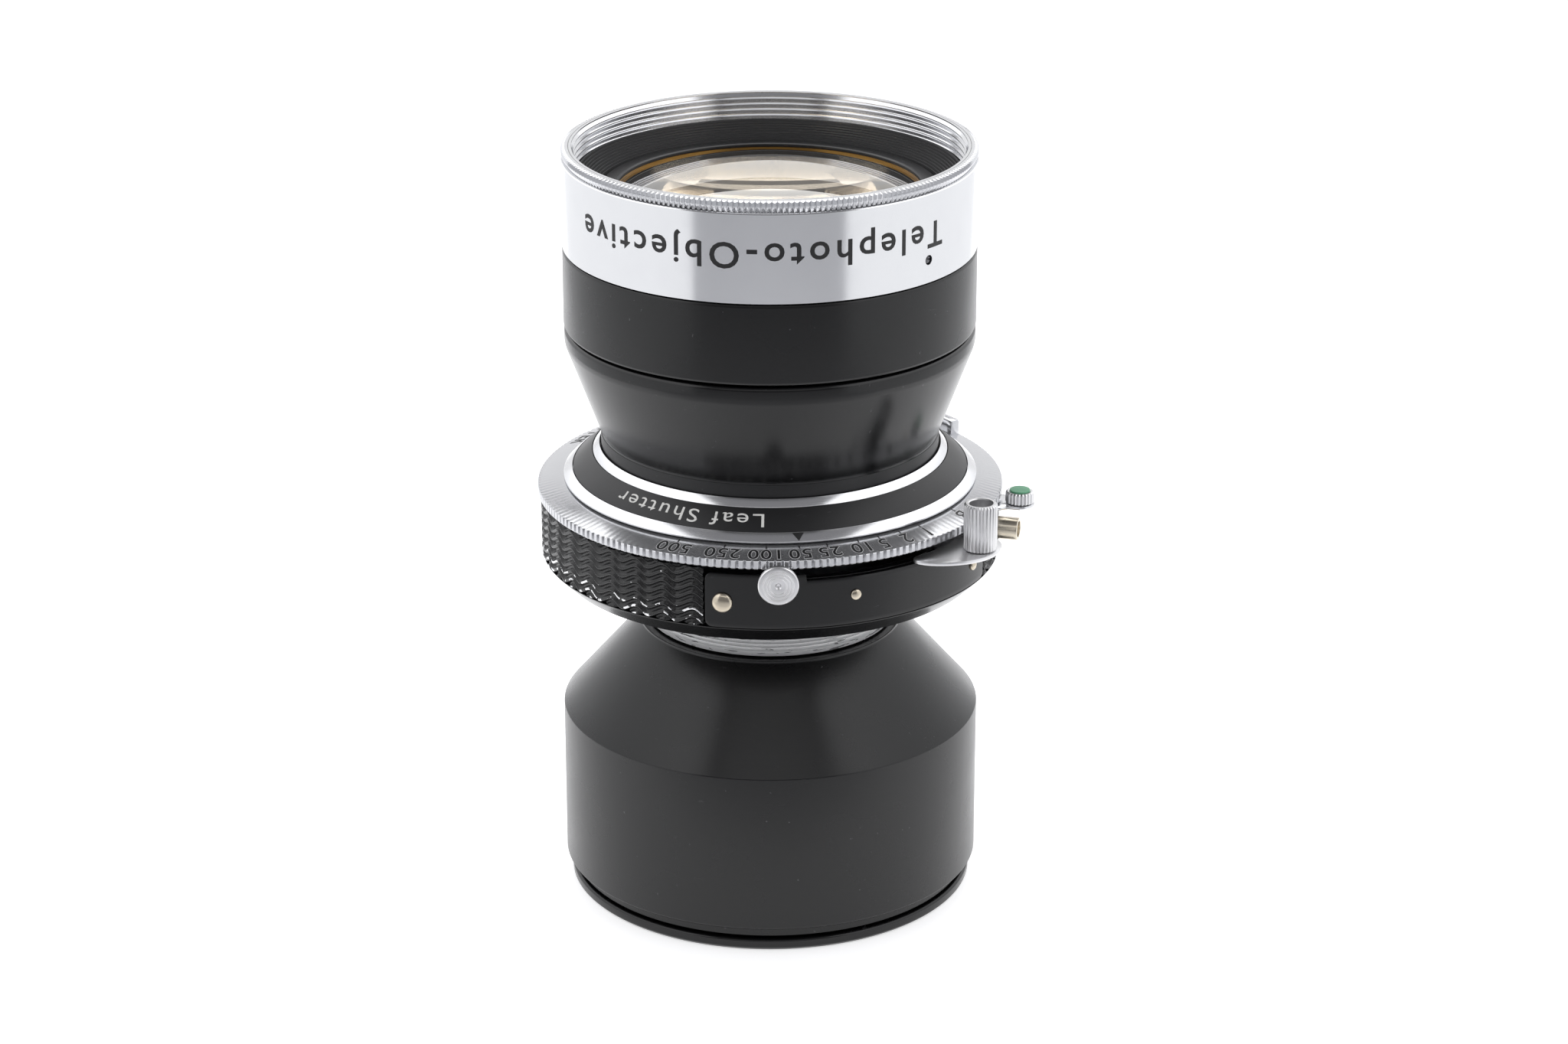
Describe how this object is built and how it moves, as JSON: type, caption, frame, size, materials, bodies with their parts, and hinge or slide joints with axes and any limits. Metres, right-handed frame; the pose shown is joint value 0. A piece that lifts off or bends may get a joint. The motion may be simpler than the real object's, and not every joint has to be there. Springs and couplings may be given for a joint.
{
  "type": "telephoto lens in leaf shutter",
  "caption": "Telephoto taking lens in a between-the-lens leaf shutter, black and chrome, standing on its rear cell with the front glass up.",
  "frame": {"origin": "centre of the rear rim's face, on the optical axis", "axes": "+Z along the optical axis towards the subject, -Y towards the side with the focus button"},
  "size_m": [0.0632, 0.0643, 0.0988],
  "materials": {
    "black": "satin black enamel",
    "glossy_black": "gloss black enamel",
    "matt_black": "matt black anodising",
    "leatherette": "embossed black leatherette",
    "chrome": "satin chrome",
    "aluminium": "turned aluminium",
    "steel": "blackened steel",
    "brass": "nickel-plated brass",
    "glass": "coated optical glass",
    "green": "green enamel inlay"
  },
  "bodies": {
    "lens_body": {"rear_rim_ring": "glossy_black", "front_cone": "glossy_black", "side_plate": "glossy_black", "rear_housing": "black", "shutter_housing": "black", "name_ring": "black", "front_barrel": "black", "rear_spacer_ring": "matt_black", "rear_retaining_ring": "matt_black", "front_baffle": "matt_black", "front_retaining_ring": "matt_black", "inner_lens_tube": "matt_black", "inner_retaining_ring": "matt_black", "flash_insulator": "matt_black", "leatherette_wrap": "leatherette", "filter_ring": "chrome", "inner_bezel": "chrome", "outer_bezel": "chrome", "mount_tube": "aluminium", "front_thread_tube": "steel", "grub_screw": "steel", "cable_socket": "steel", "mechanism_plate": "steel", "drive_spring": "steel", "rivet_large": "brass", "rivet_front": "brass", "rivet_right": "brass", "flash_sleeve": "brass", "flash_pin": "brass", "speed_escapement": "brass", "rear_inner_glass": "glass", "rear_outer_glass": "glass", "front_crown_glass": "glass", "front_flint_glass": "glass", "inner_glass": "glass"},
    "speed_dial": {"speed_ring": "chrome"},
    "cocking": {"cocking_lever": "aluminium", "cocking_knob": "aluminium"},
    "sync": {"sync_lever": "steel", "sync_knob": "aluminium", "sync_cap": "green"},
    "button": {"focus_button": "aluminium"},
    "release": {"release_lever": "aluminium"},
    "aperture": {"aperture_ring": "aluminium"},
    "blade_drive": {"blade_ring": "steel"},
    "shutter_blade_1": {"shutter_blade_1": "steel"},
    "shutter_blade_2": {"shutter_blade_2": "steel"},
    "shutter_blade_3": {"shutter_blade_3": "steel"},
    "shutter_blade_4": {"shutter_blade_4": "steel"},
    "shutter_blade_5": {"shutter_blade_5": "steel"},
    "iris_leaf_1": {"iris_leaf_1": "steel"},
    "iris_leaf_2": {"iris_leaf_2": "steel"},
    "iris_leaf_3": {"iris_leaf_3": "steel"},
    "iris_leaf_4": {"iris_leaf_4": "steel"},
    "iris_leaf_5": {"iris_leaf_5": "steel"},
    "iris_leaf_6": {"iris_leaf_6": "steel"},
    "iris_leaf_7": {"iris_leaf_7": "steel"},
    "iris_leaf_8": {"iris_leaf_8": "steel"}
  },
  "joints": [
    {"name": "speed_ring_turn", "type": "hinge", "parent": "lens_body", "child": "speed_dial", "pos_m": [0, 0, 0.0545], "axis": [0, 0, 1], "range_deg": [-51, 32]},
    {"name": "cocking_lever_swing", "type": "hinge", "parent": "lens_body", "child": "cocking", "pos_m": [0, 0, 0.0523], "axis": [0, 0, 1], "range_deg": [-28, 0]},
    {"name": "sync_lever_swing", "type": "hinge", "parent": "lens_body", "child": "sync", "pos_m": [0, 0, 0.053], "axis": [0, 0, 1], "range_deg": [0, 8]},
    {"name": "focus_button_press", "type": "slide", "parent": "lens_body", "child": "button", "axis": [-0.0349, 0.9994, 0], "range_m": [0, 0.0008], "stiffness_N_per_m": 200, "springref_m": -0.002},
    {"name": "release_lever_swing", "type": "hinge", "parent": "lens_body", "child": "release", "pos_m": [0, 0, 0.0523], "axis": [0, 0, 1], "range_deg": [-5, 0], "stiffness_Nm_per_rad": 0.2, "springref_deg": 2.86},
    {"name": "aperture_ring_turn", "type": "hinge", "parent": "lens_body", "child": "aperture", "pos_m": [0, 0, 0.0451], "axis": [0, 0, 1], "range_deg": [-50, 0]},
    {"name": "blade_ring_turn", "type": "hinge", "parent": "lens_body", "child": "blade_drive", "pos_m": [0, 0, 0.0504], "axis": [0, 0, 1], "range_deg": [0, 12]},
    {"name": "shutter_blade_1_swing", "type": "hinge", "parent": "lens_body", "child": "shutter_blade_1", "pos_m": [0, -0.019, 0.0481], "axis": [0, 0, 1], "range_deg": [0, 47]},
    {"name": "shutter_blade_2_swing", "type": "hinge", "parent": "lens_body", "child": "shutter_blade_2", "pos_m": [0.01807, -0.00587, 0.0481], "axis": [0, 0, 1], "range_deg": [0, 47]},
    {"name": "shutter_blade_3_swing", "type": "hinge", "parent": "lens_body", "child": "shutter_blade_3", "pos_m": [0.01117, 0.01537, 0.0481], "axis": [0, 0, 1], "range_deg": [0, 47]},
    {"name": "shutter_blade_4_swing", "type": "hinge", "parent": "lens_body", "child": "shutter_blade_4", "pos_m": [-0.01117, 0.01537, 0.0481], "axis": [0, 0, 1], "range_deg": [0, 47]},
    {"name": "shutter_blade_5_swing", "type": "hinge", "parent": "lens_body", "child": "shutter_blade_5", "pos_m": [-0.01807, -0.00587, 0.0481], "axis": [0, 0, 1], "range_deg": [0, 47]},
    {"name": "iris_leaf_1_swing", "type": "hinge", "parent": "lens_body", "child": "iris_leaf_1", "pos_m": [0, -0.0145, 0.0464], "axis": [0, 0, 1], "range_deg": [0, 32.1]},
    {"name": "iris_leaf_2_swing", "type": "hinge", "parent": "lens_body", "child": "iris_leaf_2", "pos_m": [0.01025, -0.01025, 0.0464], "axis": [0, 0, 1], "range_deg": [0, 32.1]},
    {"name": "iris_leaf_3_swing", "type": "hinge", "parent": "lens_body", "child": "iris_leaf_3", "pos_m": [0.0145, 0, 0.0464], "axis": [0, 0, 1], "range_deg": [0, 32.1]},
    {"name": "iris_leaf_4_swing", "type": "hinge", "parent": "lens_body", "child": "iris_leaf_4", "pos_m": [0.01025, 0.01025, 0.0464], "axis": [0, 0, 1], "range_deg": [0, 32.1]},
    {"name": "iris_leaf_5_swing", "type": "hinge", "parent": "lens_body", "child": "iris_leaf_5", "pos_m": [0, 0.0145, 0.0464], "axis": [0, 0, 1], "range_deg": [0, 32.1]},
    {"name": "iris_leaf_6_swing", "type": "hinge", "parent": "lens_body", "child": "iris_leaf_6", "pos_m": [-0.01025, 0.01025, 0.0464], "axis": [0, 0, 1], "range_deg": [0, 32.1]},
    {"name": "iris_leaf_7_swing", "type": "hinge", "parent": "lens_body", "child": "iris_leaf_7", "pos_m": [-0.0145, 0, 0.0464], "axis": [0, 0, 1], "range_deg": [0, 32.1]},
    {"name": "iris_leaf_8_swing", "type": "hinge", "parent": "lens_body", "child": "iris_leaf_8", "pos_m": [-0.01025, -0.01025, 0.0464], "axis": [0, 0, 1], "range_deg": [0, 32.1]}
  ],
  "couplings": [
    {"joint": "shutter_blade_1_swing", "follows": "blade_ring_turn", "ratio": 3.9166},
    {"joint": "shutter_blade_2_swing", "follows": "blade_ring_turn", "ratio": 3.9166},
    {"joint": "shutter_blade_3_swing", "follows": "blade_ring_turn", "ratio": 3.9166},
    {"joint": "shutter_blade_4_swing", "follows": "blade_ring_turn", "ratio": 3.9166},
    {"joint": "shutter_blade_5_swing", "follows": "blade_ring_turn", "ratio": 3.9166},
    {"joint": "iris_leaf_1_swing", "follows": "aperture_ring_turn", "ratio": -0.64},
    {"joint": "iris_leaf_2_swing", "follows": "aperture_ring_turn", "ratio": -0.64},
    {"joint": "iris_leaf_3_swing", "follows": "aperture_ring_turn", "ratio": -0.64},
    {"joint": "iris_leaf_4_swing", "follows": "aperture_ring_turn", "ratio": -0.64},
    {"joint": "iris_leaf_5_swing", "follows": "aperture_ring_turn", "ratio": -0.64},
    {"joint": "iris_leaf_6_swing", "follows": "aperture_ring_turn", "ratio": -0.64},
    {"joint": "iris_leaf_7_swing", "follows": "aperture_ring_turn", "ratio": -0.64},
    {"joint": "iris_leaf_8_swing", "follows": "aperture_ring_turn", "ratio": -0.64}
  ]
}
